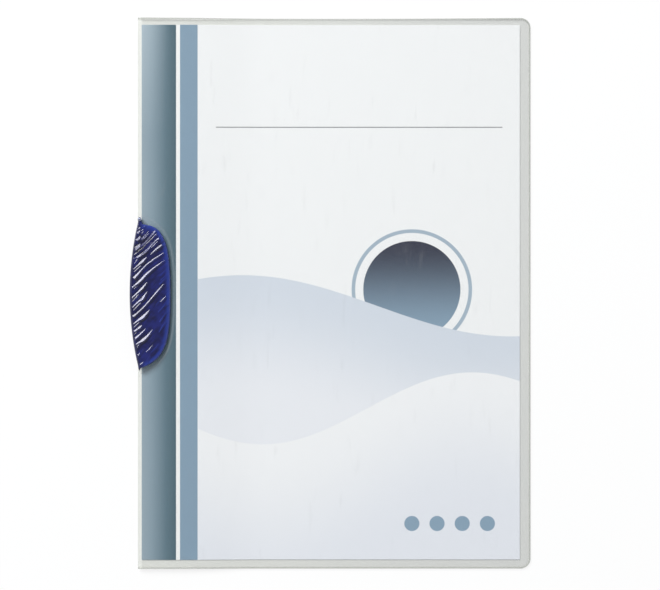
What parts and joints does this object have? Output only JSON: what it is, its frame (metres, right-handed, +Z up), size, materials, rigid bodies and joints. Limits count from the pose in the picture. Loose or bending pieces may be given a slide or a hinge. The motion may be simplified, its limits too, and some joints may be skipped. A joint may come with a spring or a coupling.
{
  "type": "clip folder",
  "caption": "A4 report folder with a clear front cover, a frosted back cover, a title sheet and a moulded clip that swings out at the spine to grip loose sheets.",
  "frame": {"origin": "middle of the back cover's underside, on the surface that the folder lies on", "axes": "+X from the spine to the open side, +Y up the page, +Z up from the back cover to the front cover"},
  "size_m": [0.2226, 0.306, 0.0076],
  "materials": {
    "frosted_film": "frosted translucent film",
    "clear_film": "clear glossy film",
    "printed_card": "printed card, satin",
    "clip_plastic": "dark blue moulding with a crumpled relief, glossy",
    "rivet_metal": "bright, small"
  },
  "bodies": {
    "folder": {"back_cover": "frosted_film", "front_cover_spine_strip": "clear_film", "title_sheet": "printed_card", "clip_rivet": "rivet_metal"},
    "front_leaf": {"front_cover": "clear_film"},
    "swing_clip": {"clip": "clip_plastic"}
  },
  "joints": [
    {"name": "cover_opens", "type": "hinge", "parent": "folder", "child": "front_leaf", "pos_m": [-0.0855, 0, 0.0029], "axis": [0, -1, 0], "range_deg": [0, 150]},
    {"name": "clip_swings", "type": "hinge", "parent": "folder", "child": "swing_clip", "pos_m": [-0.1077, 0.0408, 0], "axis": [0, 0, -1], "range_deg": [0, 90]}
  ]
}
